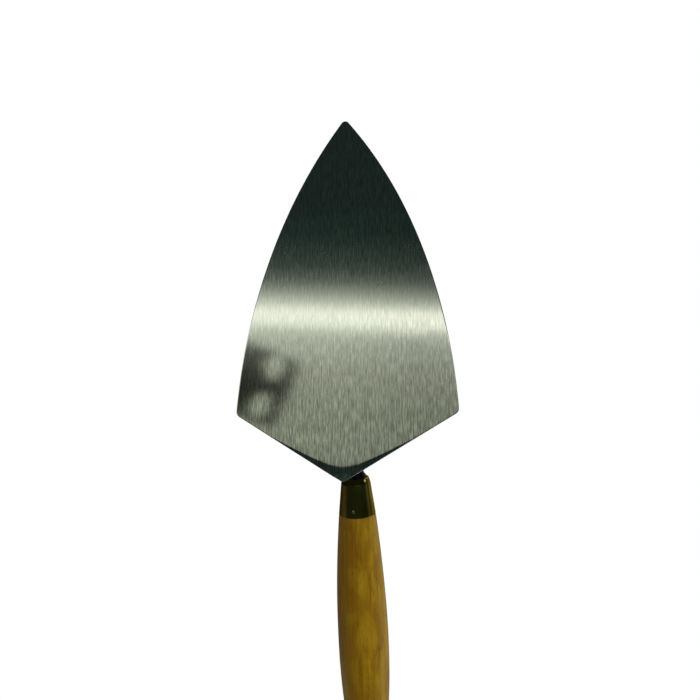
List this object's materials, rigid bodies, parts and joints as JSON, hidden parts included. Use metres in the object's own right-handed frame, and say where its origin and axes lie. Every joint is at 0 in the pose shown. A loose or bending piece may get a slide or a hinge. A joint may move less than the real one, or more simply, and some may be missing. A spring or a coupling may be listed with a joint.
{
  "type": "brick trowel",
  "caption": "Mason's brick trowel: flat kite-shaped steel blade, goose-neck shank, tapered brass ferrule and turned wooden handle.",
  "frame": {"origin": "middle of the blade's flat working face, on the plane of symmetry, halfway from heel to tip", "axes": "+X from the heel to the blade's tip, +Z from the working face up to the handle, +Y across the blade"},
  "size_m": [0.374, 0.1334, 0.0843],
  "materials": {
    "blade_steel": "ground lengthwise, fine brushed lines",
    "shank_steel": "forged and polished, darker than the blade",
    "weld_steel": "as-welded, heat-tinted",
    "ferrule_brass": "polished, lightly tarnished",
    "pin_brass": "filed bright",
    "handle_wood": "turned and varnished hardwood with curved grain",
    "bedding_resin": "matt dark resin"
  },
  "bodies": {
    "root": {"blade": "blade_steel", "shank": "shank_steel", "weld_bead": "weld_steel", "ferrule": "ferrule_brass", "ferrule_pin": "pin_brass", "handle": "handle_wood", "tang_bedding": "bedding_resin"}
  },
  "joints": []
}
